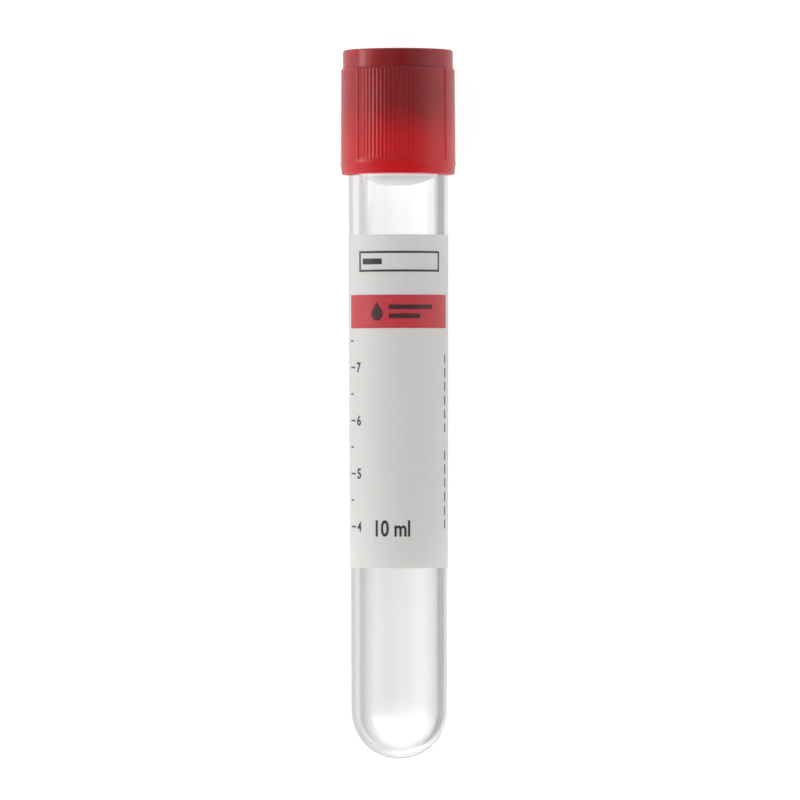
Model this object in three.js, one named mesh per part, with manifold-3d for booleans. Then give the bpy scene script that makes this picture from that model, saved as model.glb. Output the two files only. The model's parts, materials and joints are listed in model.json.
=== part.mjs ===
// Evacuated blood collection tube, 16 x 100 mm class, 10 ml: a clear moulded tube with a round base,
// a rubber stopper that seals its mouth, a ribbed safety cap that holds the stopper, and a wrapped
// label with a printed colour band. It lies on its side, as a round-based tube comes to rest, with
// the label uppermost and the cap towards +Y.
//
// Each piece is first shaped about its own +Y axis, with Y = 0 at the tip of the tube's round base.
// laidDown() then tips the whole assembly onto the floor plane Z = 0.

import * as THREE from "three";
import { mergeVertices } from "three/addons/utils/BufferGeometryUtils.js";
import Module from "manifold-3d";

const wasm = await Module();
wasm.setup();

// ---------------------------------------------------------------- sizes, in millimetres and degrees

// Tube: the outside widens a little from base to mouth, as a moulded tube does, and the bore is
// straight.
const TUBE_LENGTH = 100;
const TUBE_BASE_RADIUS = 7.55; // outside, where the round base meets the body
const TUBE_MOUTH_RADIUS = 7.83; // outside, at the open end
const TUBE_WALL = 1.35; // where the round base meets the body
const TUBE_BASE_THICKNESS = 1.2; // at the tip of the round base
const RIM_ROUND = 0.3; // both edges of the mouth

// Stopper: a head held in the cap by a ring, a flange on the mouth, and a plug with a domed end.
const SEAT_GAP = 0.05; // between the flange and the tube's mouth
const PLUG_CLEARANCE = 0.05;
const PLUG_LENGTH = 8.65; // below the mouth, down to where the dome starts
const DOME_DEPTH = 1.65;
const FLANGE_HEIGHT = 2.9;
const FLANGE_INSET = 0.33; // of the flange's edge from the outside of the mouth
const HEAD_STEP = 0.3; // from the flange in to the head above it
const HEAD_GROOVE_DEPTH = 0.45; // of the groove round the head, which the cap's ring sits in
const WELL_RADIUS = 3.8;
const WELL_ROUND = 0.8;
const SEPTUM_TOP = 3; // height of the well's floor above the tube's mouth
const SEPTUM_THICKNESS = 4;
const RECESS_RADIUS = 2; // in the end of the plug

// Cap: a narrow crown, a ribbed body that flares downwards, and a hem along the lower edge.
const CAP_OVERLAP = 8.5; // how far the skirt reaches down over the tube
const CAP_RISE = 11; // how far the crown stands above the tube's mouth
const SKIRT_CLEARANCE = 0.2; // between the tube's mouth and the inside of the skirt
const SKIRT_WALL = 0.95; // at the foot of the ribbed body
const BODY_DRAFT = 0.09; // how much narrower the body is at its top
const SHOULDER_ROUND = 0.35;
const CROWN_HEIGHT = 2.9;
const CROWN_STEP = 0.28; // from the body in to the crown
const CROWN_ROUND = 0.35;
const TOP_THICKNESS = 1.2;
const HEM_HEIGHT = 2.1;
const HEM_STEP = 0.05; // from the body out to the hem, at the top of the hem
const HEM_STEP_HEIGHT = 0.3;
const HEM_TAPER = 0.22; // how much narrower the hem is at the cap's lower edge
const STOPPER_GAP = 0.1; // between the stopper and the cap around it
const RING_HEIGHT = 1.1; // of the ring that holds the stopper's head
const HOLE_MARGIN = 0.5; // how much wider the needle hole is than the stopper's well
const HOLE_CHAMFER = 0.35;

// Grip ribs: two panels of upright ribs on opposite sides of the cap, with smooth sides between.
const PANELS = 2;
const PANEL_TURN = 5.8; // how far the first panel is turned from the middle of the label
const GROOVES_PER_PANEL = 25;
const GROOVE_PITCH = 4.1;
const GROOVE_RADIUS = 0.21;
const GROOVE_LIFT = 0.2; // from the top of the hem up to the grooves' round ends

// Label: one sheet wrapped round the front of the tube, with a red band printed across it.
const LABEL_FOOT = 30; // height of its lower edge above the tip of the base
const LABEL_HEIGHT = 52;
const LABEL_WIDTH = 33; // measured flat
const LABEL_THICKNESS = 0.06;
const LABEL_GAP = 0.02; // the adhesive under it
const BAND_DROP = 9.4; // below the label's upper edge
const BAND_HEIGHT = 5.2;
const BAND_WIDTH = 19; // measured flat
const INK_THICKNESS = 0.03;
const INK_GAP = 0.01;

// Facets, the same on every piece, so that neighbours keep their clearance all the way round.
const SEGMENTS = 40;
const ROUND_STEPS = 2; // of a small rounded edge
const BASE_STEPS = 4; // of each half of the tube's round base
const GROOVE_STEPS = 8; // round a groove between two ribs

// ---------------------------------------------------------------- places that pieces share

const DRAFT = (TUBE_MOUTH_RADIUS - TUBE_BASE_RADIUS) / (TUBE_LENGTH - TUBE_BASE_RADIUS);
const outsideRadius = (y) => TUBE_BASE_RADIUS + DRAFT * (y - TUBE_BASE_RADIUS);
const boreRadius = TUBE_BASE_RADIUS - TUBE_WALL;

const flangeFoot = TUBE_LENGTH + SEAT_GAP;
const flangeTop = flangeFoot + FLANGE_HEIGHT;
const flangeRadius = TUBE_MOUTH_RADIUS - FLANGE_INSET;
const headRadius = flangeRadius - HEAD_STEP;
const headNeckRadius = headRadius - HEAD_GROOVE_DEPTH;

const capFoot = TUBE_LENGTH - CAP_OVERLAP;
const capTop = TUBE_LENGTH + CAP_RISE;
const capCeiling = capTop - TOP_THICKNESS;
const shoulder = capTop - CROWN_HEIGHT;
const hemTop = capFoot + HEM_HEIGHT;
const hemRidge = hemTop - HEM_STEP_HEIGHT;
const skirtBore = TUBE_MOUTH_RADIUS + SKIRT_CLEARANCE;
const bodyLowRadius = skirtBore + SKIRT_WALL;
const bodyTopRadius = bodyLowRadius - BODY_DRAFT;
const hemRadius = bodyLowRadius + HEM_STEP;

const QUARTER = Math.PI / 2;

// A profile turned a full circle about +Y, with a flat facet facing down.
function turned(profile, curveSteps = ROUND_STEPS) {
  return new THREE.LatheGeometry(profile.getPoints(curveSteps), SEGMENTS, Math.PI / SEGMENTS);
}

// A three.js geometry as a manifold solid, and the way back.
function solidOf(geometry) {
  const bare = geometry.clone();
  bare.deleteAttribute("normal");
  bare.deleteAttribute("uv");
  const merged = mergeVertices(bare);
  return new wasm.Manifold(
    new wasm.Mesh({
      numProp: 3,
      vertProperties: merged.attributes.position.array,
      triVerts: new Uint32Array(merged.index.array),
    }),
  );
}

function geometryOf(solid) {
  const mesh = solid.getMesh();
  const geometry = new THREE.BufferGeometry();
  geometry.setAttribute("position", new THREE.BufferAttribute(mesh.vertProperties, 3));
  geometry.setIndex(new THREE.BufferAttribute(mesh.triVerts, 1));
  geometry.computeVertexNormals();
  return geometry;
}

// ---------------------------------------------------------------- the pieces

function tubeGeometry() {
  const rimOutside = outsideRadius(TUBE_LENGTH);
  const rimFoot = TUBE_LENGTH - RIM_ROUND;
  const floorDepth = TUBE_BASE_RADIUS - TUBE_BASE_THICKNESS;
  const profile = new THREE.Path();
  profile.moveTo(0, 0);
  profile.absarc(0, TUBE_BASE_RADIUS, TUBE_BASE_RADIUS, -QUARTER, 0, false);
  profile.lineTo(outsideRadius(rimFoot), rimFoot);
  profile.quadraticCurveTo(rimOutside, TUBE_LENGTH, rimOutside - RIM_ROUND, TUBE_LENGTH);
  profile.lineTo(boreRadius + RIM_ROUND, TUBE_LENGTH);
  profile.quadraticCurveTo(boreRadius, TUBE_LENGTH, boreRadius, rimFoot);
  profile.lineTo(boreRadius, TUBE_BASE_RADIUS);
  profile.absellipse(0, TUBE_BASE_RADIUS, boreRadius, floorDepth, 0, -QUARTER, true);
  return turned(profile, BASE_STEPS);
}

function stopperGeometry() {
  const ringSpaceTop = flangeTop + RING_HEIGHT + 2 * STOPPER_GAP;
  const headTop = capCeiling - STOPPER_GAP;
  const wellFloor = TUBE_LENGTH + SEPTUM_TOP;
  const recessTop = wellFloor - SEPTUM_THICKNESS;
  const domeTop = TUBE_LENGTH - PLUG_LENGTH;
  const plugRadius = boreRadius - PLUG_CLEARANCE;
  const recessShare = RECESS_RADIUS / plugRadius;
  const domeFoot = domeTop - DOME_DEPTH * (1 - recessShare ** 2);
  const domeBend = domeTop - DOME_DEPTH * (1 - recessShare);

  const profile = new THREE.Path();
  profile.moveTo(0, recessTop);
  profile.lineTo(RECESS_RADIUS, recessTop);
  profile.lineTo(RECESS_RADIUS, domeFoot);
  profile.quadraticCurveTo((RECESS_RADIUS + plugRadius) / 2, domeBend, plugRadius, domeTop);
  profile.lineTo(plugRadius, flangeFoot);
  profile.lineTo(flangeRadius, flangeFoot);
  profile.lineTo(flangeRadius, flangeTop);
  profile.lineTo(headNeckRadius, flangeTop);
  profile.lineTo(headNeckRadius, ringSpaceTop);
  profile.lineTo(headRadius, ringSpaceTop);
  profile.lineTo(headRadius, headTop);
  profile.lineTo(WELL_RADIUS, headTop);
  profile.lineTo(WELL_RADIUS, wellFloor + WELL_ROUND);
  profile.quadraticCurveTo(WELL_RADIUS, wellFloor, WELL_RADIUS - WELL_ROUND, wellFloor);
  profile.lineTo(0, wellFloor);
  return turned(profile);
}

// The cap before its ribs: down the outside from the crown to the hem, then up the inside past the
// ring that holds the stopper.
function capBlankGeometry() {
  const crownRadius = bodyTopRadius - CROWN_STEP;
  const crownEdge = capTop - CROWN_ROUND;
  const shoulderEdge = shoulder - SHOULDER_ROUND;
  const holeRadius = WELL_RADIUS + HOLE_MARGIN;
  const ringFoot = flangeTop + STOPPER_GAP;
  const ringTop = ringFoot + RING_HEIGHT;
  const ringRadius = headNeckRadius + STOPPER_GAP;
  const headBore = headRadius + STOPPER_GAP;
  const flangeBore = flangeRadius + STOPPER_GAP;

  const profile = new THREE.Path();
  profile.moveTo(hemRadius - HEM_TAPER, capFoot);
  profile.lineTo(hemRadius, hemRidge);
  profile.lineTo(bodyLowRadius, hemTop);
  profile.lineTo(bodyTopRadius, shoulderEdge);
  profile.quadraticCurveTo(bodyTopRadius, shoulder, crownRadius, shoulder);
  profile.lineTo(crownRadius, crownEdge);
  profile.quadraticCurveTo(crownRadius, capTop, crownRadius - CROWN_ROUND, capTop);
  profile.lineTo(holeRadius + HOLE_CHAMFER, capTop);
  profile.lineTo(holeRadius, capTop - HOLE_CHAMFER);
  profile.lineTo(holeRadius, capCeiling);
  profile.lineTo(headBore, capCeiling);
  profile.lineTo(headBore, ringTop);
  profile.lineTo(ringRadius, ringTop);
  profile.lineTo(ringRadius, ringFoot);
  profile.lineTo(flangeBore, ringFoot);
  profile.lineTo(flangeBore, flangeFoot);
  profile.lineTo(skirtBore, flangeFoot);
  profile.lineTo(skirtBore, capFoot);
  profile.lineTo(hemRadius - HEM_TAPER, capFoot);
  return turned(profile);
}

// One upright groove with round ends. It follows the slope of the body, stops short of the hem, and
// runs out through the shoulder.
function grooveCutter() {
  const foot = new THREE.Vector2(bodyLowRadius, hemTop + GROOVE_LIFT + GROOVE_RADIUS);
  const top = new THREE.Vector2(bodyTopRadius, shoulder + GROOVE_RADIUS);
  const along = top.clone().sub(foot);
  const middle = foot.clone().add(top).multiplyScalar(0.5);
  const length = along.length();
  const groove = new THREE.CapsuleGeometry(GROOVE_RADIUS, length, ROUND_STEPS, GROOVE_STEPS);
  groove.rotateX(Math.atan2(along.x, along.y));
  groove.translate(0, middle.y, middle.x);
  return groove;
}

function capGeometry() {
  let cap = solidOf(capBlankGeometry());
  const panelTurn = 360 / PANELS;
  const firstGroove = -((GROOVES_PER_PANEL - 1) / 2) * GROOVE_PITCH;
  for (let panel = 0; panel < PANELS; panel++) {
    for (let groove = 0; groove < GROOVES_PER_PANEL; groove++) {
      const turn = PANEL_TURN + panel * panelTurn + firstGroove + groove * GROOVE_PITCH;
      const cutter = grooveCutter().rotateY(THREE.MathUtils.degToRad(turn));
      cap = cap.subtract(solidOf(cutter));
    }
  }
  return geometryOf(cap);
}

// A sheet wrapped on the tube between two heights, its flat width centred on +Z.
function wrappedSheet(foot, top, width, lift, thickness) {
  const profile = new THREE.Path();
  profile.moveTo(outsideRadius(foot) + lift, foot);
  profile.lineTo(outsideRadius(foot) + lift + thickness, foot);
  profile.lineTo(outsideRadius(top) + lift + thickness, top);
  profile.lineTo(outsideRadius(top) + lift, top);
  profile.lineTo(outsideRadius(foot) + lift, foot);
  const ring = solidOf(turned(profile));

  // The open side is a wedge from the axis outwards, between the sheet's two upright edges.
  const halfAngle = width / 2 / outsideRadius((foot + top) / 2);
  const reach = 3 * (outsideRadius(top) + lift + thickness);
  const wedge = new THREE.Shape();
  wedge.moveTo(0, 0);
  wedge.absarc(0, 0, reach, QUARTER + halfAngle, QUARTER - halfAngle + 2 * Math.PI, false);
  wedge.lineTo(0, 0);
  const cutter = new THREE.ExtrudeGeometry(wedge, {
    depth: top - foot + 2,
    bevelEnabled: false,
    curveSegments: ROUND_STEPS,
  });
  cutter.rotateX(QUARTER);
  cutter.translate(0, top + 1, 0);
  return geometryOf(ring.subtract(solidOf(cutter)));
}

function labelGeometry() {
  return wrappedSheet(LABEL_FOOT, LABEL_FOOT + LABEL_HEIGHT, LABEL_WIDTH, LABEL_GAP, LABEL_THICKNESS);
}

function bandGeometry() {
  const top = LABEL_FOOT + LABEL_HEIGHT - BAND_DROP;
  const lift = LABEL_GAP + LABEL_THICKNESS + INK_GAP;
  return wrappedSheet(top - BAND_HEIGHT, top, BAND_WIDTH, lift, INK_THICKNESS);
}

// ---------------------------------------------------------------- assembly

function piece(name, geometry, material) {
  const mesh = new THREE.Mesh(geometry, new THREE.MeshStandardMaterial(material));
  mesh.name = name;
  return mesh;
}

// Lays the assembly on the floor: it rests on the widest ring of the hem and on the round base, so
// its axis rises slightly towards the cap. The origin is under the middle of its bounding box.
function laidDown(assembly) {
  const span = hemRidge - TUBE_BASE_RADIUS;
  const rise = Math.acos(TUBE_BASE_RADIUS / Math.hypot(hemRadius, span));
  assembly.rotation.x = rise - Math.atan2(span, hemRadius);

  const laid = new THREE.Group().add(assembly);
  laid.updateMatrixWorld(true);
  const box = new THREE.Box3().setFromObject(laid, true);
  const middle = box.getCenter(new THREE.Vector3());
  assembly.position.set(-middle.x, -middle.y, -box.min.z);
  return laid;
}

const assembly = new THREE.Group().add(
  piece("tube", tubeGeometry(), {
    color: 0xeef2f4, roughness: 0.05, metalness: 0, transparent: true, opacity: 0.3,
  }),
  piece("stopper", stopperGeometry(), { color: 0xb9b8bd, roughness: 0.7, metalness: 0 }),
  piece("safety_cap", capGeometry(), { color: 0xc41f26, roughness: 0.35, metalness: 0 }),
  piece("label", labelGeometry(), { color: 0xe4e4e0, roughness: 0.6, metalness: 0 }),
  piece("label_band", bandGeometry(), { color: 0xc8464c, roughness: 0.5, metalness: 0 }),
);

export default laidDown(assembly);
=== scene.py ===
"""Looks of the blood collection tube: a clear moulded tube with a rubber stopper, a ribbed red
cap and a printed label, lying on a pale floor. Lengths are in metres, angles in degrees unless a
name says otherwise. Every piece of the object is shaped about its own +Y axis, with y = 0 at the
tip of the round base and +Z through the middle of the label, and is then laid on the tube's
axis."""

import json
import math

import bmesh
import bpy
import numpy as np
from mathutils import Matrix, Vector


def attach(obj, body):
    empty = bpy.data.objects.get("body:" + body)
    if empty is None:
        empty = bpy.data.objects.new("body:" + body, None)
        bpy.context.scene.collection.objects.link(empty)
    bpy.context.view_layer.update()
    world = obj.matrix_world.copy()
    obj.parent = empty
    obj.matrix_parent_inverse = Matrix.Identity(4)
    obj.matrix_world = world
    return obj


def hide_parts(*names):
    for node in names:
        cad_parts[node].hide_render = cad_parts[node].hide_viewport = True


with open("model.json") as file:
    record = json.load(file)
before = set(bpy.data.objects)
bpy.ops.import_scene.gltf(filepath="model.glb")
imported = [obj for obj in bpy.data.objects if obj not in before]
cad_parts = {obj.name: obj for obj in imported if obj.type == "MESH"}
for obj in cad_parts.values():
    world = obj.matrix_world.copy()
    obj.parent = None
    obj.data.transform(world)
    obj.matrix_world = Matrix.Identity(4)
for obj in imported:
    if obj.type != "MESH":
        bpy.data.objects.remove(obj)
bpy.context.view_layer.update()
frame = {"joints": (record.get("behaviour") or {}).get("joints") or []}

MM = 0.001
MILLILITRE = 1e-6

# ------------------------------------------------------------------ sizes of the pieces

TUBE_LENGTH = 100 * MM
TUBE_BASE_RADIUS = 7.55 * MM
TUBE_MOUTH_RADIUS = 7.83 * MM
TUBE_WALL = 1.35 * MM
TUBE_BASE_THICKNESS = 1.2 * MM
RIM_ROUND = 0.3 * MM

SEAT_GAP = 0.05 * MM
PLUG_CLEARANCE = 0.05 * MM
PLUG_LENGTH = 8.65 * MM
DOME_DEPTH = 1.65 * MM
FLANGE_HEIGHT = 2.9 * MM
FLANGE_INSET = 0.33 * MM
HEAD_STEP = 0.3 * MM
HEAD_GROOVE_DEPTH = 0.45 * MM
WELL_RADIUS = 3.8 * MM
WELL_ROUND = 0.8 * MM
SEPTUM_TOP = 3 * MM
SEPTUM_THICKNESS = 4 * MM
RECESS_RADIUS = 2 * MM
RUBBER_ROUND = 0.2 * MM

CAP_OVERLAP = 8.5 * MM
CAP_RISE = 11 * MM
SKIRT_CLEARANCE = 0.2 * MM
SKIRT_WALL = 0.95 * MM
BODY_DRAFT = 0.09 * MM
SHOULDER_ROUND = 0.35 * MM
CROWN_HEIGHT = 2.9 * MM
CROWN_STEP = 0.28 * MM
CROWN_ROUND = 0.35 * MM
TOP_THICKNESS = 1.2 * MM
HEM_HEIGHT = 2.1 * MM
HEM_STEP = 0.05 * MM
HEM_STEP_HEIGHT = 0.3 * MM
HEM_TAPER = 0.22 * MM
HEM_EDGE_ROUND = 0.2 * MM
STOPPER_GAP = 0.1 * MM
RING_HEIGHT = 1.1 * MM
HOLE_MARGIN = 0.5 * MM
HOLE_CHAMFER = 0.35 * MM
HEM_FOOT_ROUND = HEM_EDGE_ROUND * 0.8
HEM_RIDGE_ROUND = 0.12 * MM
BODY_FOOT_ROUND = 0.1 * MM
CROWN_FOOT_ROUND = 0.08 * MM
INNER_ROUND = 0.1 * MM
SKIRT_ROUND = 0.15 * MM

PANELS = 2
PANEL_TURN = 5.8  # the first panel's middle, from the label's middle
GROOVES_PER_PANEL = 25
GROOVE_PITCH = 4.1
GROOVE_DEPTH = 0.065 * MM
GROOVE_FOOT = 0.4 * MM
END_GROOVE = 2.2  # times as deep as the others
SHALLOW = 0.2  # share of the depth that is left past SHALLOW_FROM
SHALLOW_FROM = 14
GROOVE_LIFT = 0.2 * MM

LABEL_FOOT = 30 * MM
LABEL_HEIGHT = 52 * MM
LABEL_WIDTH = 33 * MM
LABEL_THICKNESS = 0.06 * MM
LABEL_GAP = 0.02 * MM
BAND_DROP = 9.4 * MM
BAND_HEIGHT = 5.2 * MM
BAND_WIDTH = 19 * MM
INK_THICKNESS = 0.03 * MM
INK_GAP = 0.01 * MM
PRINT_STRIP = 0.4 * MM
SAME_PLACE = 0.0005 * MM

# The print. Places are (u, y): u round the tube from the label's middle, y up from the base's tip.
WRITE_ON_FRAME = (-6.8 * MM, 7.2 * MM, 76.2 * MM, 79.4 * MM)  # left, right, foot, top
FRAME_LINE = 0.3 * MM
FRAME_BAR = (-6.0 * MM, -2.6 * MM, 77.35 * MM, 78.25 * MM)
BAND_DROP_MARK = (-3.4 * MM, 68.6 * MM, 0.95 * MM, 2.9 * MM)  # middle, foot, radius, height
BAND_BARS = [
    (-1.5 * MM, 5.6 * MM, 70.35 * MM, 71.05 * MM),
    (-1.5 * MM, 3.4 * MM, 68.95 * MM, 69.65 * MM),
]
SCALE_LEFT = -9.6 * MM
SCALE_LOWEST, SCALE_HIGHEST = 4, 7  # millilitres that have a figure
LONG_MARK = 1.5 * MM
SHORT_MARK = 0.9 * MM
HALF_MARK_LINE = 0.12 * MM
FIGURE_LEFT = -7.6 * MM
FIGURE_WIDTH = 1.0 * MM
FIGURE_HEIGHT = 1.6 * MM
FIGURE_STROKE = 0.018  # added round each stroke, in the font's own units
DASHES = [*range(6), *range(7, 13)]  # two groups of six, one dash apart
DASH_LEFT, DASH_RIGHT = 8.9 * MM, 9.2 * MM
DASH_HIGHEST = 62.6 * MM
DASH_PITCH = 2.15 * MM
HALF_DASH = 0.7 * MM
VOLUME_MARK = ("10 ml", -3.75 * MM, 34.9 * MM, 5.5 * MM, 2.6 * MM)  # left, foot, width, height

# How finely the surfaces are divided.
ARC_STEPS = 6
BASE_STEPS = 40
DOME_STEPS = 24
TUBE_TURNS = 256
STOPPER_TURNS = 160
TURNS_PER_GROOVE = 16
SMOOTH_SIDE_TURN = 2.0
GROOVE_END_PLACES = 7
SHOULDER_REACH = 0.01 * MM  # how near the shoulder's height a place of the outline counts as on it
SHOULDER_PLACES = 8  # places round the shoulder that the grooves still run over
SHEET_COLUMNS = 160
SHEET_ROWS = 24
DROP_STEPS = 28

# ------------------------------------------------------------------ places that pieces share

DRAFT = (TUBE_MOUTH_RADIUS - TUBE_BASE_RADIUS) / (TUBE_LENGTH - TUBE_BASE_RADIUS)
bore_radius = TUBE_BASE_RADIUS - TUBE_WALL

flange_foot = TUBE_LENGTH + SEAT_GAP
flange_top = flange_foot + FLANGE_HEIGHT
flange_radius = TUBE_MOUTH_RADIUS - FLANGE_INSET
head_radius = flange_radius - HEAD_STEP
head_neck_radius = head_radius - HEAD_GROOVE_DEPTH

cap_foot = TUBE_LENGTH - CAP_OVERLAP
cap_top = TUBE_LENGTH + CAP_RISE
cap_ceiling = cap_top - TOP_THICKNESS
shoulder = cap_top - CROWN_HEIGHT
hem_top = cap_foot + HEM_HEIGHT
hem_ridge = hem_top - HEM_STEP_HEIGHT
skirt_bore = TUBE_MOUTH_RADIUS + SKIRT_CLEARANCE
body_low_radius = skirt_bore + SKIRT_WALL
body_top_radius = body_low_radius - BODY_DRAFT
hem_radius = body_low_radius + HEM_STEP


def outside_radius(y):
    """The tube's outside radius at height y: a straight line from the base's radius to the
    mouth's."""
    return TUBE_BASE_RADIUS + DRAFT * (y - TUBE_BASE_RADIUS)


# The tube's own axes as they lie in the frame: the cap's twist turns about the tube's axis, at the
# middle of the crown.
twist = next(joint for joint in frame["joints"] if joint["name"] == "cap_twist")
along = np.array(twist["axis"]) / np.linalg.norm(twist["axis"])
across = np.array([1.0, 0.0, 0.0])
outward = np.cross(across, along)
tip = np.array(twist["pos_m"]) - along * cap_top


def laid(points):
    """Points (..., 3) about the piece's own axis, carried to where the tube lies: tip + x across
    + y along + z outward."""
    x, y, z = points[..., 0:1], points[..., 1:2], points[..., 2:3]
    return tip + x * across + y * along + z * outward


# ------------------------------------------------------------------ surfaces

def new_piece(name, points, faces, body, smooth=True):
    """A mesh of points (n, 3) about the tube's axis, laid in place, riding on a body."""
    mesh = bpy.data.meshes.new(name)
    mesh.from_pydata(laid(points).tolist(), [], faces)
    mesh.validate()
    mesh.polygons.foreach_set("use_smooth", [smooth] * len(mesh.polygons))
    mesh.update()
    piece = bpy.data.objects.new(name, mesh)
    bpy.context.scene.collection.objects.link(piece)
    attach(piece, body)
    return piece


def rounded(corners, steps=ARC_STEPS):
    """An outline through corners (r, y, round). Each corner with a round gives way to a circular
    arc that leaves both of its sides at the same distance, round * tan(half the turn), from the
    corner."""
    corners = [(np.array(c[:2], float), c[2] if len(c) > 2 else 0.0) for c in corners]
    outline = [corners[0][0]]
    for (before, _), (corner, radius), (after, _) in zip(corners, corners[1:], corners[2:]):
        if radius == 0:
            outline.append(corner)
            continue
        a = (before - corner) / np.linalg.norm(before - corner)
        b = (after - corner) / np.linalg.norm(after - corner)
        half = math.acos(np.clip(a @ b, -1, 1)) / 2
        middle = corner + (a + b) / np.linalg.norm(a + b) * radius / math.sin(half)
        start = corner + a * radius / math.tan(half) - middle
        end = corner + b * radius / math.tan(half) - middle
        sweep = math.acos(np.clip(start @ end / radius**2, -1, 1))
        for t in np.linspace(0, 1, steps + 1):
            blend = math.sin((1 - t) * sweep) * start + math.sin(t * sweep) * end
            outline.append(middle + blend / math.sin(sweep))
    outline.append(corners[-1][0])
    return np.array(outline)


def supported(outline, span=1 * MM, margin=0.15 * MM):
    """The outline with two more points on each straight run longer than span, at margin from its
    ends, so that the shading of the rounded corners doesn't spread along the run."""
    points = [outline[0]]
    for before, after in zip(outline, outline[1:]):
        run = after - before
        length = np.linalg.norm(run)
        if length > span:
            points += [before + run * margin / length, after - run * margin / length]
        points.append(after)
    return np.array(points)


def quarter_oval(middle_y, width, height, start, end, steps):
    """Points (width cos a, middle_y + height sin a) for angles a from start to end in radians."""
    a = np.linspace(start, end, steps + 1)
    return np.stack([width * np.cos(a), middle_y + height * np.sin(a)], axis=1)


def shallow_dome(edge_y, radius, depth, start, steps):
    """Points (r, edge_y - depth (1 - (r / radius)^2)) for r from start out to the dome's
    radius."""
    r = np.linspace(start, radius, steps + 1)
    return np.stack([r, edge_y - depth * (1 - (r / radius)**2)], axis=1)


def ring_faces(rings, turns, closed):
    """Quads between neighbouring rings of a grid that closes round the axis, and between the last
    ring and the first where closed is true."""
    last = rings if closed else rings - 1
    i, j = np.meshgrid(np.arange(last), np.arange(turns), indexing="ij")
    i2, j2 = (i + 1) % rings, (j + 1) % turns
    quads = np.stack([i * turns + j, i * turns + j2, i2 * turns + j2, i2 * turns + j], axis=-1)
    return quads.reshape(-1, 4).tolist()


def revolved(radius, height, turn, closed):
    """A surface of revolution: the point of ring i at turn angle t is (radius sin t, height,
    radius cos t). radius and height are (rings, turns) grids or (rings, 1) columns. An open
    outline starts and ends on the axis, where one point closes it."""
    radius, height, turn = np.broadcast_arrays(radius, height, turn[None, :])
    grid = np.stack([radius * np.sin(turn), height, radius * np.cos(turn)], axis=-1)
    rings, turns = radius.shape
    if closed:
        return grid.reshape(-1, 3), ring_faces(rings, turns, True)
    inner = grid[1:-1].reshape(-1, 3)
    points = np.concatenate([inner, grid[:1, 0], grid[-1:, 0]])
    faces = ring_faces(rings - 2, turns, False)
    first, final = len(points) - 2, len(points) - 1
    start = (rings - 3) * turns
    for j in range(turns):
        k = (j + 1) % turns
        faces.append([first, k, j])
        faces.append([final, start + j, start + k])
    return points, faces


def revolved_piece(name, outline, turns, closed, body):
    """A piece that is the same all the way round, from an outline of (r, y)."""
    turn = np.linspace(0, 2 * math.pi, turns, endpoint=False)
    outline = supported(outline)
    points, faces = revolved(outline[:, 0:1], outline[:, 1:2], turn, closed)
    return new_piece(name, points, faces, body)


# ------------------------------------------------------------------ materials

PLASTIC_IOR = 1.5
WALL_CLEAR, WALL_EDGE = (1.0, 1.0, 1.0), (0.62, 0.63, 0.64)
WALL_SHADOW = (0.9, 0.9, 0.9, 1)
WAVE_HEIGHT = 0.00002
# The cap's red over the tube, and a darker copy of it: painted shade, standing in for the grey
# rubber's shade seen through the translucent wall.
RED_OVER_TUBE = ((0.64, 0.010, 0.015), (0.68, 0.013, 0.019))  # the cloud's two ends
RED_SHADED_OVER_RUBBER = ((0.27, 0.014, 0.016), (0.31, 0.018, 0.020))
RUBBER_BELOW_MOUTH = 4.5 * MM  # the cap's painted shade deepens from here to RUBBER_ABOVE_MOUTH
RUBBER_ABOVE_MOUTH = 3.5 * MM
DARKEST_AT = 1.5 * MM  # the middle of the painted shade on the red, across the tube
# Across the tube, the painted shade fades to half between these distances from its middle.
DARK_FROM, DARK_TO = 1.5 * MM, 8.5 * MM
RUBBER_MOTTLE = ((0.95, 0.95, 0.95), (1.0, 1.0, 1.0))
# Painted light and shade on the stopper: pale pink from the dome's edge upward, standing in for
# red light from the cap; a darker ring of painted shade below it; and a tip painted pale as if
# lit.
DOME_PAINTED_LIGHT_AND_SHADE = [  # height above the dome's edge, and tint: painted light and shade
    (-1.6 * MM, (0.95, 0.95, 0.96)),
    (-0.9 * MM, (0.80, 0.80, 0.83)),
    (-0.4 * MM, (0.66, 0.65, 0.69)),
    (-0.2 * MM, (0.97, 0.85, 0.88)),
    (0.2 * MM, (0.97, 0.84, 0.87)),
]
GRAIN_HEIGHT = 0.00002
LABEL_WHITE = ((0.79, 0.78, 0.755), (0.81, 0.80, 0.775))
FIBRE_HEIGHT = 0.000004
BAND_RED = (0.56, 0.04, 0.055)
PRINT_BLACK = (0.03, 0.03, 0.032)
PRINT_DARK = (0.055, 0.016, 0.018)
INK_UNEVEN = 0.02


def material(name):
    """A new material, with its nodes, its links and its Principled shader."""
    mat = bpy.data.materials.new(name)
    mat.use_nodes = True
    nodes = mat.node_tree.nodes
    return mat, nodes, mat.node_tree.links, nodes["Principled BSDF"]


def set_sockets(shader, values):
    """Sets the shader's own sockets, by name."""
    for socket, value in values.items():
        shader.inputs[socket].default_value = value


def object_axes(nodes, links):
    """Object coordinates, and the same split into x, y and z."""
    place = nodes.new("ShaderNodeTexCoord")
    split = nodes.new("ShaderNodeSeparateXYZ")
    links.new(place.outputs["Object"], split.inputs["Vector"])
    return place, split


def height_in_frame(y):
    """Where the height y on the tube's axis lies along the frame's own y."""
    return float(laid(np.array([0, y, 0]))[1])


def object_noise(nodes, links, scale, detail=3.0, stretch=(1, 1, 1)):
    """Noise on Object coordinates, scale in cycles per metre, squeezed by stretch."""
    place = nodes.new("ShaderNodeTexCoord")
    mapping = nodes.new("ShaderNodeMapping")
    mapping.inputs["Scale"].default_value = stretch
    noise = nodes.new("ShaderNodeTexNoise")
    noise.inputs["Scale"].default_value = scale
    noise.inputs["Detail"].default_value = detail
    links.new(place.outputs["Object"], mapping.inputs["Vector"])
    links.new(mapping.outputs["Vector"], noise.inputs["Vector"])
    return noise


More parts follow.
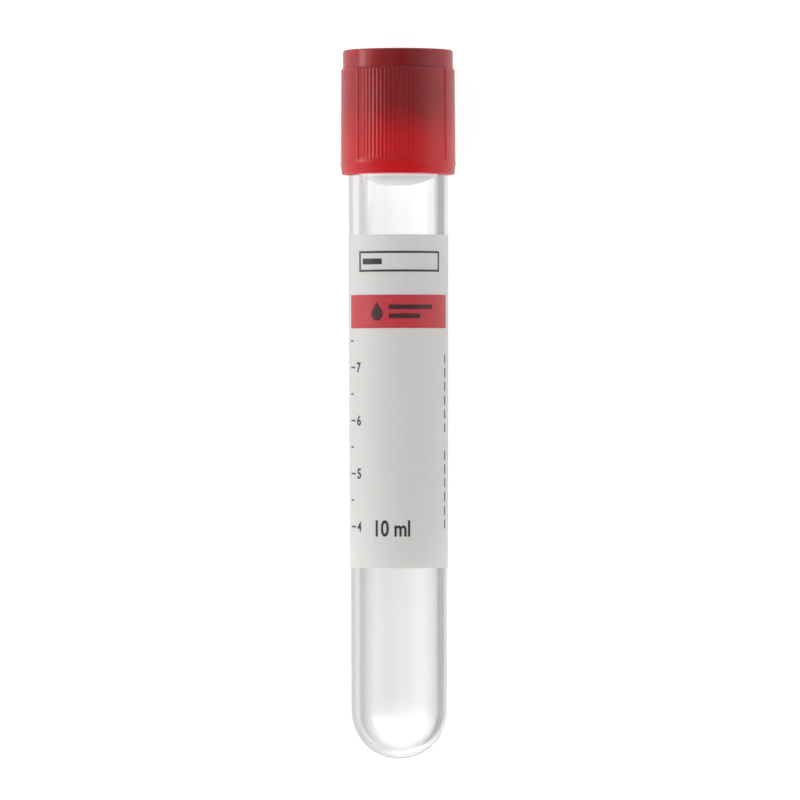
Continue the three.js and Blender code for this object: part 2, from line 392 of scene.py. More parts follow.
def ramp(nodes, links, source, low, high, low_at=0.3, high_at=0.7):
    """A colour ramp from low to high over the given span of source."""
    node = nodes.new("ShaderNodeValToRGB")
    node.color_ramp.elements[0].position = low_at
    node.color_ramp.elements[1].position = high_at
    node.color_ramp.elements[0].color = (*low, 1)
    node.color_ramp.elements[1].color = (*high, 1)
    links.new(source, node.inputs["Fac"])
    return node


def map_range(nodes, links, source, low, high, at_low, at_high):
    """A smooth step from at_low to at_high as source climbs from low to high."""
    node = nodes.new("ShaderNodeMapRange")
    node.interpolation_type = "SMOOTHSTEP"
    node.inputs["From Min"].default_value = low
    node.inputs["From Max"].default_value = high
    node.inputs["To Min"].default_value = at_low
    node.inputs["To Max"].default_value = at_high
    links.new(source, node.inputs["Value"])
    return node.outputs["Result"]


def graded(nodes, links, source, stops):
    """A colour that follows source through stops (place, colour), easing from each to the next."""
    first, last = stops[0][0], stops[-1][0]
    spread = nodes.new("ShaderNodeMapRange")
    spread.inputs["From Min"].default_value = first
    spread.inputs["From Max"].default_value = last
    links.new(source, spread.inputs["Value"])
    node = nodes.new("ShaderNodeValToRGB")
    node.color_ramp.interpolation = "EASE"
    marks = node.color_ramp.elements
    marks.remove(marks[1])
    for k, (place, colour) in enumerate(stops):
        mark = marks[0] if k == 0 else marks.new((place - first) / (last - first))
        mark.position, mark.color = (place - first) / (last - first), (*colour, 1)
    links.new(spread.outputs["Result"], node.inputs["Fac"])
    return node.outputs["Color"]


def roughen(nodes, links, source, distance, shader):
    """Gives the shader's surface a relief, distance high, that follows source."""
    node = nodes.new("ShaderNodeBump")
    node.inputs["Distance"].default_value = distance
    node.inputs["Strength"].default_value = 1.0
    links.new(source, node.inputs["Height"])
    links.new(node.outputs["Normal"], shader.inputs["Normal"])


def clear_plastic():
    """Clear moulded plastic: glassy, with a faint waviness from the mould, and greyer where the
    wall is seen edge on. It lets most of the light through to what lies in its shadow."""
    mat, nodes, links, shader = material("clear_plastic")
    edge = nodes.new("ShaderNodeLayerWeight")
    edge.inputs["Blend"].default_value = 0.5
    grey = ramp(nodes, links, edge.outputs["Facing"], WALL_CLEAR, WALL_EDGE,
                low_at=0.12, high_at=0.65)
    links.new(grey.outputs["Color"], shader.inputs["Base Color"])
    set_sockets(shader, {"Roughness": 0.02, "IOR": PLASTIC_IOR, "Transmission Weight": 1.0})
    waves = object_noise(nodes, links, scale=60, detail=2.0, stretch=(1, 0.3, 1))
    roughen(nodes, links, waves.outputs["Fac"], WAVE_HEIGHT, shader)
    through = nodes.new("ShaderNodeBsdfTransparent")
    through.inputs["Color"].default_value = WALL_SHADOW
    path = nodes.new("ShaderNodeLightPath")
    mix = nodes.new("ShaderNodeMixShader")
    links.new(path.outputs["Is Shadow Ray"], mix.inputs["Fac"])
    links.new(shader.outputs["BSDF"], mix.inputs[1])
    links.new(through.outputs["BSDF"], mix.inputs[2])
    links.new(mix.outputs["Shader"], nodes["Material Output"].inputs["Surface"])
    return mat


def red_cap_plastic():
    """Translucent red plastic with a soft gloss, with painted shade in its colour. It is painted
    darker and duller along the crown end, standing in for the shade of the grey rubber right under
    the wall, and clearer over the tube: the painted shade follows the height along the tube and,
    half as much at the sides, the place across it. The red has a slow cloudiness."""
    mat, nodes, links, shader = material("red_cap_plastic")
    cloud = object_noise(nodes, links, scale=160)
    _, split = object_axes(nodes, links)
    mouth = height_in_frame(TUBE_LENGTH)
    below, above = mouth - RUBBER_BELOW_MOUTH, mouth + RUBBER_ABOVE_MOUTH
    # Painted shade: how far the red turns to its darker copy, by height along the tube and by
    # place across it.
    behind = map_range(nodes, links, split.outputs["Y"], below, above, 0.0, 1.0)
    from_middle = nodes.new("ShaderNodeMath")
    from_middle.inputs[1].default_value = -DARKEST_AT
    links.new(split.outputs["X"], from_middle.inputs[0])
    aside = nodes.new("ShaderNodeMath")
    aside.operation = "ABSOLUTE"
    links.new(from_middle.outputs["Value"], aside.inputs[0])
    middle = map_range(nodes, links, aside.outputs["Value"], DARK_FROM, DARK_TO, 1.0, 0.5)
    low = ramp(nodes, links, cloud.outputs["Fac"], *RED_OVER_TUBE)
    high = ramp(nodes, links, cloud.outputs["Fac"], *RED_SHADED_OVER_RUBBER)
    tint = nodes.new("ShaderNodeMix")
    tint.data_type = "RGBA"
    links.new(multiply(nodes, links, behind, middle), tint.inputs[0])
    links.new(low.outputs["Color"], tint.inputs[6])
    links.new(high.outputs["Color"], tint.inputs[7])
    links.new(tint.outputs[2], shader.inputs["Base Color"])
    set_sockets(shader, {
        "Roughness": 0.19,
        "IOR": PLASTIC_IOR,
        "Specular IOR Level": 0.5,
        "Transmission Weight": 0.1,
        "Subsurface Weight": 1.0,
        "Subsurface Radius": (1.0, 0.25, 0.25),
        "Subsurface Scale": 0.0012,
        "Sheen Weight": 0.9,
        "Sheen Roughness": 0.4,
        "Sheen Tint": (1.0, 0.06, 0.06, 1),
    })
    return mat


def grey_rubber():
    """Pale grey butyl rubber: matt, with a fine grain. The dome of the plug carries painted light
    and
    shade: it is painted palest round its edge and above it, in a pink that stands in for red light
    from the cap, and at its tip, with a darker ring of painted shade between."""
    mat, nodes, links, shader = material("grey_rubber")
    grain = object_noise(nodes, links, scale=5200)
    cloud = object_noise(nodes, links, scale=300)
    mottle = ramp(nodes, links, cloud.outputs["Fac"], *RUBBER_MOTTLE)
    _, split = object_axes(nodes, links)
    edge = height_in_frame(TUBE_LENGTH - PLUG_LENGTH)
    stops = [(edge + above, tint) for above, tint in DOME_PAINTED_LIGHT_AND_SHADE]
    # Painted light and shade, by height along the tube.
    shade = graded(nodes, links, split.outputs["Y"], stops)
    tint = nodes.new("ShaderNodeMix")
    tint.data_type, tint.blend_type = "RGBA", "MULTIPLY"
    tint.inputs[0].default_value = 1.0
    links.new(shade, tint.inputs[6])
    links.new(mottle.outputs["Color"], tint.inputs[7])
    links.new(tint.outputs[2], shader.inputs["Base Color"])
    set_sockets(shader, {"Roughness": 0.5, "Sheen Weight": 0.5})
    roughen(nodes, links, grain.outputs["Fac"], GRAIN_HEIGHT, shader)
    return mat


def label_film():
    """Satin white label stock with faint fibres."""
    mat, nodes, links, shader = material("label_film")
    fibre = object_noise(nodes, links, scale=2400, stretch=(1, 0.5, 1))
    tint = ramp(nodes, links, fibre.outputs["Fac"], *LABEL_WHITE)
    links.new(tint.outputs["Color"], shader.inputs["Base Color"])
    set_sockets(shader, {
        "Roughness": 0.45,
        "Subsurface Weight": 0.5,
        "Subsurface Radius": (1.0, 1.0, 1.0),
        "Subsurface Scale": 0.0003,
    })
    roughen(nodes, links, fibre.outputs["Fac"], FIBRE_HEIGHT, shader)
    return mat


def ink(name, colour):
    """Printed ink, a little uneven where it took less well."""
    mat, nodes, links, shader = material(name)
    speckle = object_noise(nodes, links, scale=2600)
    pale = tuple(c + INK_UNEVEN for c in colour)
    tint = ramp(nodes, links, speckle.outputs["Fac"], colour, pale)
    links.new(tint.outputs["Color"], shader.inputs["Base Color"])
    shader.inputs["Roughness"].default_value = 0.4
    return mat


# ------------------------------------------------------------------ the tube

def make_tube():
    """The wall of the tube as one closed surface: up the outside from the tip, over the rounded
    rim and down the bore to the inside of the base."""
    quarter = math.pi / 2
    outside = quarter_oval(TUBE_BASE_RADIUS, TUBE_BASE_RADIUS, TUBE_BASE_RADIUS, -quarter, 0,
                           BASE_STEPS)
    wall = rounded([
        (outside_radius(TUBE_BASE_RADIUS), TUBE_BASE_RADIUS),
        (outside_radius(TUBE_LENGTH), TUBE_LENGTH, RIM_ROUND),
        (bore_radius, TUBE_LENGTH, RIM_ROUND),
        (bore_radius, TUBE_BASE_RADIUS),
    ])
    depth = TUBE_BASE_RADIUS - TUBE_BASE_THICKNESS
    inside = quarter_oval(TUBE_BASE_RADIUS, bore_radius, depth, 0, -quarter, BASE_STEPS)
    outline = np.concatenate([outside[:-1], wall[:-1], inside])
    piece = revolved_piece("clear_tube", outline, TUBE_TURNS, False, "tube_body")
    piece.data.materials.append(clear_plastic())
    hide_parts("tube")


def make_stopper():
    """The rubber stopper turned about its axis: recess, domed plug, flange, neck, head and
    well."""
    well_floor = TUBE_LENGTH + SEPTUM_TOP
    recess_top = well_floor - SEPTUM_THICKNESS
    dome_top = TUBE_LENGTH - PLUG_LENGTH
    plug_radius = bore_radius - PLUG_CLEARANCE
    ring_space_top = flange_top + RING_HEIGHT + 2 * STOPPER_GAP
    head_top = cap_ceiling - STOPPER_GAP
    dome = shallow_dome(dome_top, plug_radius, DOME_DEPTH, RECESS_RADIUS, DOME_STEPS)
    recess = rounded([(0, recess_top), (RECESS_RADIUS, recess_top, RUBBER_ROUND), dome[0]])
    upper = rounded([
        dome[-1],
        (plug_radius, flange_foot),
        (flange_radius, flange_foot, RUBBER_ROUND),
        (flange_radius, flange_top, RUBBER_ROUND),
        (head_neck_radius, flange_top, RUBBER_ROUND),
        (head_neck_radius, ring_space_top, RUBBER_ROUND),
        (head_radius, ring_space_top, RUBBER_ROUND),
        (head_radius, head_top, RUBBER_ROUND),
        (WELL_RADIUS, head_top, RUBBER_ROUND),
        (WELL_RADIUS, well_floor, WELL_ROUND),
        (0, well_floor),
    ])
    outline = np.concatenate([recess[:-1], dome[:-1], upper])
    piece = revolved_piece(
        "rubber_stopper", outline, STOPPER_TURNS, False, "stopper_body",
    )
    piece.data.materials.append(grey_rubber())
    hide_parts("stopper")


# ------------------------------------------------------------------ the cap

def groove_turns():
    """Turn angles in radians round the cap: TURNS_PER_GROOVE to each groove, and every
    SMOOTH_SIDE_TURN degrees over the two smooth sides."""
    half_panel = GROOVES_PER_PANEL / 2 * GROOVE_PITCH
    stops = []
    for panel in range(PANELS):
        middle = PANEL_TURN + panel * 360 / PANELS
        count = GROOVES_PER_PANEL * TURNS_PER_GROOVE
        stops.extend(np.linspace(middle - half_panel, middle + half_panel, count, endpoint=False))
        last = middle + 360 / PANELS - half_panel - SMOOTH_SIDE_TURN / 2
        stops.extend(np.arange(middle + half_panel, last, SMOOTH_SIDE_TURN))
    return np.radians(np.array(stops))


def groove_depth(turn, height):
    """How deep the grip grooves are at each turn and height: a wave depth * (1 + cos a) / 2,
    where a runs through a full turn from one rib to the next, which fades in over the rounded
    foot as sqrt(1 - below^2) does. From the middle of the panel to SHALLOW_FROM degrees past it
    the grooves get shallower, down to SHALLOW of their depth. The first and last groove of a
    panel are END_GROOVE times as deep."""
    half_panel = GROOVES_PER_PANEL / 2 * GROOVE_PITCH
    span = 360 / PANELS
    in_panel = (np.degrees(turn) - PANEL_TURN + span / 2) % span - span / 2
    phase = (in_panel + half_panel) / GROOVE_PITCH
    wave = (1 - np.cos(2 * math.pi * phase)) / 2
    wave = np.where(np.abs(in_panel) < half_panel, wave, 0)
    foot = hem_top + GROOVE_LIFT
    below = np.clip((foot + GROOVE_FOOT - height) / GROOVE_FOOT, 0, 1)
    past = np.clip(in_panel / SHALLOW_FROM, 0, 1)
    share = 1 - (1 - SHALLOW) * past**2 * (3 - 2 * past)
    share = np.where(np.abs(in_panel) > half_panel - GROOVE_PITCH, END_GROOVE, share)
    return GROOVE_DEPTH * share * wave * np.sqrt(1 - below**2)


def make_cap():
    """The cap as one closed surface round the axis. Its outline goes up the outside from the hem,
    over the crown and down the inside, and the grip grooves are pressed into the outside."""
    hole_radius = WELL_RADIUS + HOLE_MARGIN
    ring_foot = flange_top + STOPPER_GAP
    ring_top = ring_foot + RING_HEIGHT
    ring_radius = head_neck_radius + STOPPER_GAP
    crown_radius = body_top_radius - CROWN_STEP
    groove_foot = hem_top + GROOVE_LIFT
    groove_bottom = groove_foot + GROOVE_FOOT
    body_slope = BODY_DRAFT / (shoulder - hem_top)
    ends = groove_foot + GROOVE_FOOT * (1 - np.cos(np.linspace(0, math.pi / 2, GROOVE_END_PLACES)))
    side = [(body_low_radius - body_slope * (y - hem_top), y) for y in [*ends, groove_bottom + MM]]
    closed_outline = rounded([
        (hem_radius - HEM_TAPER - HEM_EDGE_ROUND, cap_foot),
        (hem_radius - HEM_TAPER, cap_foot, HEM_FOOT_ROUND),
        (hem_radius, hem_ridge, HEM_RIDGE_ROUND),
        (body_low_radius, hem_top, BODY_FOOT_ROUND),
        *side,
        (body_top_radius, shoulder, SHOULDER_ROUND),
        (crown_radius, shoulder, CROWN_FOOT_ROUND),
        (crown_radius, cap_top, CROWN_ROUND),
        (hole_radius, cap_top, HOLE_CHAMFER),
        (hole_radius, cap_ceiling, INNER_ROUND),
        (head_radius + STOPPER_GAP, cap_ceiling),
        (head_radius + STOPPER_GAP, ring_top),
        (ring_radius, ring_top, INNER_ROUND),
        (ring_radius, ring_foot, INNER_ROUND),
        (flange_radius + STOPPER_GAP, ring_foot),
        (flange_radius + STOPPER_GAP, flange_foot),
        (skirt_bore, flange_foot),
        (skirt_bore, cap_foot, SKIRT_ROUND),
        (hem_radius - HEM_TAPER - HEM_EDGE_ROUND, cap_foot),
    ])
    outline = supported(closed_outline)[:-1]
    turn = groove_turns()
    radius, height = outline[:, 0:1], outline[:, 1:2]
    at_shoulder = int(np.argmax(outline[:, 1] >= shoulder - SHOULDER_REACH))
    is_outside = np.zeros(len(outline), bool)
    is_outside[:at_shoulder + SHOULDER_PLACES] = True
    depth = groove_depth(turn[None, :], height)
    side_line = body_low_radius - body_slope * (height - hem_top)
    cut = np.minimum(radius, side_line - depth)
    grid = np.where(is_outside[:, None] & (depth > 0), cut, radius)
    points, faces = revolved(grid, height, turn, True)
    piece = new_piece("ribbed_cap", points, faces, "cap_body")
    piece.data.materials.append(red_cap_plastic())
    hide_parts("safety_cap")


# ------------------------------------------------------------------ the label

def sheet_grid(foot, top, width, lift, columns, rows):
    """A grid on the tube at a distance lift from its outside: the point at flat place u from the
    middle and height y has turn angle u / radius at mid height."""
    y = np.linspace(foot, top, rows)
    half = width / 2 / outside_radius((foot + top) / 2)
    turn = np.linspace(-half, half, columns)
    radius = outside_radius(y)[:, None] + lift
    x = radius * np.sin(turn)[None, :]
    z = radius * np.cos(turn)[None, :]
    return np.stack([x, np.broadcast_to(y[:, None], x.shape), z], axis=-1)


def sheet_piece(name, foot, top, width, lift, thickness):
    """A thin sheet on the tube: an outer grid at lift + thickness, an inner grid at lift, and an
    edge that joins their rims all the way round."""
    columns, rows = SHEET_COLUMNS, SHEET_ROWS
    shift = rows * columns
    outer = sheet_grid(foot, top, width, lift + thickness, columns, rows).reshape(-1, 3)
    inner = sheet_grid(foot, top, width, lift, columns, rows).reshape(-1, 3)
    points = np.concatenate([outer, inner])
    i, j = np.meshgrid(np.arange(rows - 1), np.arange(columns - 1), indexing="ij")
    a = (i * columns + j).ravel()
    front = np.stack([a, a + 1, a + columns + 1, a + columns], axis=1)
    back = front[:, ::-1] + shift
    low = np.arange(columns)
    high = (rows - 1) * columns + low[::-1]
    right = np.arange(rows) * columns + columns - 1
    left = (np.arange(rows) * columns)[::-1]
    rim = np.concatenate([low[:-1], right[:-1], high[:-1], left[:-1]])
    after = np.roll(rim, -1)
    edge = np.stack([rim, rim + shift, after + shift, after], axis=1)
    faces = np.concatenate([front, back, edge]).tolist()
    return new_piece(name, points, faces, "tube_body", smooth=False)


def make_label():
    """The label wrapped on the tube, and the red band on it, which is measured down from its
    top."""
    label = sheet_piece(
        "wrapped_label", LABEL_FOOT, LABEL_FOOT + LABEL_HEIGHT, LABEL_WIDTH,
        LABEL_GAP, LABEL_THICKNESS,
    )
    label.data.materials.append(label_film())
    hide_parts("label")
    top = LABEL_FOOT + LABEL_HEIGHT - BAND_DROP
    lift = LABEL_GAP + LABEL_THICKNESS + INK_GAP
    band = sheet_piece(
        "red_band", top - BAND_HEIGHT, top, BAND_WIDTH, lift, INK_THICKNESS,
    )
    band.data.materials.append(ink("red_ink", BAND_RED))
    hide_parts("label_band")


# ------------------------------------------------------------------ the print

def box(left, right, foot, top):
    """A rectangle on the label, as the corners of its outline."""
    return [(left, foot), (right, foot), (right, top), (left, top)]


def frame_lines(left, right, foot, top, line):
    """The four bars of a rectangular frame, line wide, inside the given edges."""
    return [
        box(left, right, foot, foot + line),
        box(left, right, top - line, top),
        box(left, left + line, foot + line, top - line),
        box(right - line, right, foot + line, top - line),
    ]


def drop(middle, foot, radius, height, steps=DROP_STEPS):
    """A drop: the lower arc of a circle, and two straight sides that touch it and meet at the
    point (middle, foot + height)."""
    to_point = height - radius
    touch = math.asin(radius / to_point)
    a = np.linspace(math.pi - touch, 2 * math.pi + touch, steps)
    arc = np.stack([middle + radius * np.cos(a), foot + radius + radius * np.sin(a)], axis=1)
    return [*arc.tolist(), (middle, foot + height)]


def add_outline(shape, outline):
    """A thin flat prism INK_THICKNESS high on an outline of (u, y)."""
    rings = []
    for height in (0, INK_THICKNESS):
        rings.append([shape.verts.new((u, y, height)) for u, y in outline])
    back, front = rings
    shape.faces.new(front)
    shape.faces.new(back[::-1])
    for k in range(len(outline)):
        after = (k + 1) % len(outline)
        shape.faces.new([back[k], back[after], front[after], front[k]])


def add_figures(shape, words, left, foot, width, height):
    """Plain figures in Blender's own font, fitted to a width and a height."""
    curve = bpy.data.curves.new("figures", "FONT")
    curve.body = words
    curve.resolution_u = 3
    curve.offset = FIGURE_STROKE
    curve.extrude = 0.5
    figures = bpy.data.objects.new("figures", curve)
    flat = bpy.data.meshes.new_from_object(figures)
    bpy.data.objects.remove(figures)
    places = np.empty(3 * len(flat.vertices))
    flat.vertices.foreach_get("co", places)
    places = places.reshape(-1, 3)
    low = places.min(axis=0)
    span = places.max(axis=0) - low
    places = (places - low) / span * [width, height, INK_THICKNESS] + [left, foot, 0]
    flat.vertices.foreach_set("co", places.ravel())
    shape.from_mesh(flat)
    bpy.data.meshes.remove(flat)


def print_piece(name, outlines, figures, lift, finish):
    """Printed shapes, drawn flat and wrapped on the tube: the point at flat place u has turn
    angle u / radius at the label's middle height. They are cut into strips first, so that they
    bend."""
    shape = bmesh.new()
    for outline in outlines:
        add_outline(shape, outline)
    for words in figures:
        add_figures(shape, *words)
    bmesh.ops.remove_doubles(shape, verts=shape.verts, dist=SAME_PLACE)
    reach = LABEL_WIDTH / 2
    for u in np.arange(-reach, reach, PRINT_STRIP):
        everything = [*shape.verts, *shape.edges, *shape.faces]
        bmesh.ops.bisect_plane(shape, geom=everything, plane_co=(u, 0, 0), plane_no=(1, 0, 0))
    bmesh.ops.recalc_face_normals(shape, faces=shape.faces)
    mesh = bpy.data.meshes.new(name)
    shape.to_mesh(mesh)
    shape.free()
    flat = np.empty(3 * len(mesh.vertices))
    mesh.vertices.foreach_get("co", flat)
    flat = flat.reshape(-1, 3)
    turn = flat[:, 0] / outside_radius(LABEL_FOOT + LABEL_HEIGHT / 2)
    radius = outside_radius(flat[:, 1]) + lift + flat[:, 2]
    wrapped = np.stack([radius * np.sin(turn), flat[:, 1], radius * np.cos(turn)], axis=-1)
    faces = [list(face.vertices) for face in mesh.polygons]
    bpy.data.meshes.remove(mesh)
    piece = new_piece(name, wrapped, faces, "tube_body", smooth=False)
    piece.data.materials.append(finish)


def fill_height(millilitres):
    """How high a volume stands in the upright tube: its base holds two thirds of pi r^2 depth, and
    each further millimetre pi r^2."""
    depth = TUBE_BASE_RADIUS - TUBE_BASE_THICKNESS
    area = math.pi * bore_radius**2
    return TUBE_BASE_RADIUS + (millilitres * MILLILITRE - 2 / 3 * area * depth) / area


def make_print():
    """A write-on frame at the head of the label, a drop and two bars on the band, a fill scale
    along the left edge, a dashed line along the right one, and the tube's volume at the foot."""
    black = ink("black_ink", PRINT_BLACK)
    on_label = LABEL_GAP + LABEL_THICKNESS + INK_GAP
    outlines = [*frame_lines(*WRITE_ON_FRAME, FRAME_LINE), box(*FRAME_BAR)]
    for half in range(2 * SCALE_LOWEST, 2 * SCALE_HIGHEST + 2):
        y = fill_height(half / 2)
        right = SCALE_LEFT + (LONG_MARK if half % 2 == 0 else SHORT_MARK)
        outlines.append(box(SCALE_LEFT, right, y - HALF_MARK_LINE, y + HALF_MARK_LINE))
    for dash in DASHES:
        y = DASH_HIGHEST - dash * DASH_PITCH
        outlines.append(box(DASH_LEFT, DASH_RIGHT, y - HALF_DASH, y + HALF_DASH))
    figures = [VOLUME_MARK]
    for volume in range(SCALE_LOWEST, SCALE_HIGHEST + 1):
        foot = fill_height(volume) - FIGURE_HEIGHT / 2
        figures.append((str(volume), FIGURE_LEFT, foot, FIGURE_WIDTH, FIGURE_HEIGHT))
    print_piece("label_print", outlines, figures, on_label, black)
    on_band = on_label + INK_THICKNESS + INK_GAP
    marks = [drop(*BAND_DROP_MARK), *(box(*bar) for bar in BAND_BARS)]
    print_piece("band_print", marks, [], on_band, ink("dark_ink", PRINT_DARK))


# ------------------------------------------------------------------ stage

HORIZON = 1.0
CEILING = 0.12
WALL_FOOT = 0.02
WALL_TOP = 0.95
FLOOR_REACH = 3.0
FLOOR_DROP = 0.03 * MM  # below the object, so that the two don't share a face
FLOOR_GREY = (0.55, 0.55, 0.55, 1)
FLOOR_GLOW = 0.77
MIRROR_GLOW = 0.64
# Painted shade on the floor as mirrors see it near the base's tip, which draws a thin grey line
# round the base.
MIRROR_BASE = 0.1
MIRROR_SPAN = (-58 * MM, -50 * MM)  # along the tube, from MIRROR_BASE, painted shade, to MIRROR_GLOW
THROUGH_CLEAR_PAINTED_GLOW = [  # painted shade and light on the floor, seen only through clear plastic, with a painted shadow strip where the glow is lowest: place across the tube in millimetres, and glow
    (-30, 0.28), (-22, 0.37), (-14, 0.49), (-9, 0.28), (-6, 0.35), (-3, 0.44), (0, 0.52),
    (3, 0.53), (5, 0.50), (9, 0.51), (12, 0.085), (22, 0.085), (30, 0.6),
]
# Painted light toward the mouth end, as a factor on the glow seen through clear plastic.
MOUTH_PAINTED_LIGHT = 1.65
MOUTH_PAINTED_LIGHT_SPAN = (10 * MM, 24 * MM)  # along the tube, over which the painted light climbs from 1 to its full factor
# Painted light round the base's tip, as a factor on that glow, near the place on the next line.
BASE_PAINTED_LIGHT = 1.7
BASE_PAINTED_LIGHT_PLACE = (1 * MM, -64 * MM, 0)
BASE_PAINTED_LIGHT_SPAN = (10.5 * MM, 18.5 * MM)  # distance from that place, over which the painted light falls from its full factor to the one far away
PAINTED_LIGHT_AWAY = 0.95
# Each lamp's name, near and far edge as (x, z), start and end along the tube, radiance, and
# whether gloss shows it.
LAMPS = [
    ("key_strip", (-1.05, 0.33), (-1.1, 0.04), 0.062, 0.46, 3.1, True),
    ("key_side", (-0.93, 0.62), (-1.05, 0.34), 0.062, 0.46, 0.9, True),
    ("key_panel", (-0.08, 1.1), (-0.9, 0.65), 0.062, 0.46, 0.22, True),
    ("side_panel", (0.35, 1.0), (1.1, 0.08), 0.062, 0.46, 0.28, True),
    ("main_box", (-0.45, 1.05), (-1.3, 0.2), -1.2, -0.3, 3.1, False),
    ("fill_box", (0.55, 0.8), (1.0, 0.2), -1.05, -0.3, 2.9, False),
]
CAMERA_DISTANCE = 1.1
CAMERA_HEIGHT = 56.2 * MM  # along the tube, above the tip of the base
CAMERA_ASIDE = 0.17 * MM
CAMERA_ROLL = -0.124  # degrees
CAMERA_REACH = 10
LENS = 315.8  # millimetres, on a sensor SENSOR_WIDTH wide
SENSOR_WIDTH = 36


def make_floor():
    """A plain pale floor. What the lamps leave short of white is made up with a little light of
    its own, which only the camera and mirrored or clear surfaces see, so that the shadow
    stays. Where mirrored or clear surfaces see it, that light also carries painted shade and
    light."""
    mesh = bpy.data.meshes.new("floor")
    signs = [(-1, -1), (1, -1), (1, 1), (-1, 1)]
    corners = [(x * FLOOR_REACH, y * FLOOR_REACH, -FLOOR_DROP) for x, y in signs]
    mesh.from_pydata(corners, [], [(0, 1, 2, 3)])
    floor = bpy.data.objects.new("floor", mesh)
    bpy.context.scene.collection.objects.link(floor)
    mat, nodes, links, shader = material("floor_paper")
    set_sockets(shader, {
        "Base Color": FLOOR_GREY,
        "Roughness": 0.9,
        "Specular IOR Level": 0.0,
        "Emission Color": (1, 1, 1, 1),
    })
    links.new(floor_glow(nodes, links), shader.inputs["Emission Strength"])
    mesh.materials.append(mat)


def floor_glow(nodes, links):
    """The floor's glow: FLOOR_GLOW on camera rays, a mirror glow on mirror rays, and nothing on
    the rays that light other things. The mirror glow climbs along the tube from MIRROR_BASE, past
    the base's end, to MIRROR_GLOW; its low end is painted shade, which draws the thin grey line
    round the base. Rays through clear plastic find painted shade and light on the floor, which
    draw the edges of the clear wall: a glow that follows a table across the tube, with a painted
    shadow strip to one side, times painted light that climbs from 1 along the tube toward the
    mouth, times painted light that falls with the distance from a round patch under and beyond
    the base's tip."""
    path = nodes.new("ShaderNodeLightPath")
    place, split = object_axes(nodes, links)
    x, y = split.outputs["X"], split.outputs["Y"]
    # Painted shade and light on the floor, which only rays through clear plastic see.
    through_clear_painted = graded(nodes, links, x, [(across_mm * MM, (g, g, g)) for across_mm, g in THROUGH_CLEAR_PAINTED_GLOW])
    mouth_end = map_range(nodes, links, y, *MOUTH_PAINTED_LIGHT_SPAN, 1.0, MOUTH_PAINTED_LIGHT)
    from_base = nodes.new("ShaderNodeVectorMath")
    from_base.operation = "DISTANCE"
    links.new(place.outputs["Object"], from_base.inputs[0])
    from_base.inputs[1].default_value = BASE_PAINTED_LIGHT_PLACE
    distance = from_base.outputs["Value"]
    base_end = map_range(nodes, links, distance, *BASE_PAINTED_LIGHT_SPAN, BASE_PAINTED_LIGHT, PAINTED_LIGHT_AWAY)
    ends = multiply(nodes, links, mouth_end, base_end)
    clear = multiply(nodes, links, through_clear_painted, ends)
    # Painted shade: the floor as mirrors see it is dimmer near the base's tip.
    mirror = map_range(nodes, links, y, *MIRROR_SPAN, MIRROR_BASE, MIRROR_GLOW)
    in_mirror = multiply(nodes, links, path.outputs["Is Glossy Ray"], mirror)
    behind_clear = nodes.new("ShaderNodeMix")
    links.new(path.outputs["Is Transmission Ray"], behind_clear.inputs[0])
    links.new(in_mirror, behind_clear.inputs[2])
    links.new(clear, behind_clear.inputs[3])
    total = nodes.new("ShaderNodeMath")
    links.new(multiply(nodes, links, path.outputs["Is Camera Ray"], FLOOR_GLOW), total.inputs[0])
    links.new(behind_clear.outputs[0], total.inputs[1])
    return total.outputs["Value"]


def multiply(nodes, links, value, factor):
    """value times factor, a number or another node's output."""
    node = nodes.new("ShaderNodeMath")
    node.operation = "MULTIPLY"
    links.new(value, node.inputs[0])
    if isinstance(factor, float):
        node.inputs[1].default_value = factor
    else:
        links.new(factor, node.inputs[1])
    return node.outputs["Value"]


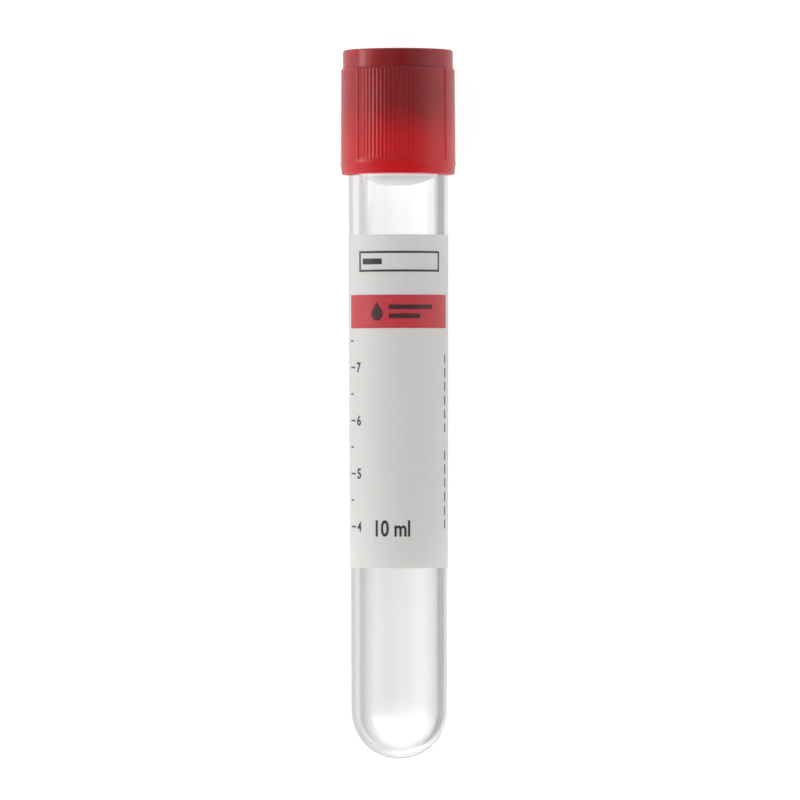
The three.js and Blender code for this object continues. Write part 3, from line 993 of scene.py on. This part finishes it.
def make_world():
    """A pale studio: white walls all round, which also give every view its white background, and a
    dimmer space above them. The strength falls from HORIZON to CEILING as the direction's z climbs
    from WALL_FOOT to WALL_TOP."""
    world = bpy.data.worlds.new("studio")
    bpy.context.scene.world = world
    world.use_nodes = True
    nodes, links = world.node_tree.nodes, world.node_tree.links
    background = nodes["Background"]
    background.inputs["Color"].default_value = (1, 1, 1, 1)
    direction = nodes.new("ShaderNodeTexCoord")
    split = nodes.new("ShaderNodeSeparateXYZ")
    links.new(direction.outputs["Generated"], split.inputs["Vector"])
    climb = map_range(nodes, links, split.outputs["Z"], WALL_FOOT, WALL_TOP, HORIZON, CEILING)
    links.new(climb, background.inputs["Strength"])


def soft_box(name, near, far, start, end, radiance, in_gloss):
    """A rectangular lamp whose long sides run from near to far, points (x, z) across the tube, and
    which reaches from start to end along the tube. Each square metre gives pi * radiance watts."""
    near, far = Vector((near[0], start, near[1])), Vector((far[0], start, far[1]))
    reach = end - start
    lamp = bpy.data.lights.new(name, "AREA")
    lamp.shape = "RECTANGLE"
    lamp.size, lamp.size_y = (far - near).length, reach
    lamp.energy = math.pi * radiance * lamp.size * lamp.size_y
    holder = bpy.data.objects.new(name, lamp)
    bpy.context.scene.collection.objects.link(holder)
    side = (far - near).normalized()
    forward = Vector((0, 1, 0))
    back = side.cross(forward)
    if back.z < 0:
        forward, back = -forward, -back
    middle = (near + far) / 2 + Vector((0, reach / 2, 0))
    holder.matrix_world = Matrix((
        (side.x, forward.x, back.x, middle.x),
        (side.y, forward.y, back.y, middle.y),
        (side.z, forward.z, back.z, middle.z),
        (0, 0, 0, 1),
    ))
    holder.visible_glossy = in_gloss


def make_camera():
    """Square to the tube but for a slight roll, over its middle, with the cap at the top of the
    picture."""
    camera = bpy.data.objects.new("camera", bpy.data.cameras.new("camera"))
    camera.data.sensor_width = SENSOR_WIDTH
    camera.data.lens = LENS
    camera.data.clip_end = CAMERA_REACH
    bpy.context.scene.collection.objects.link(camera)
    target = tip + along * CAMERA_HEIGHT + across * CAMERA_ASIDE
    camera.location = Vector(target + outward * CAMERA_DISTANCE)
    lean = math.atan2(-outward[1], outward[2])
    camera.rotation_euler = (lean, 0, math.radians(CAMERA_ROLL))
    bpy.context.scene.camera = camera


bpy.context.scene.view_settings.view_transform = "Standard"
make_camera()
make_world()
make_floor()
for lamp in LAMPS:
    soft_box(*lamp)
make_tube()
make_stopper()
make_cap()
make_label()
make_print()
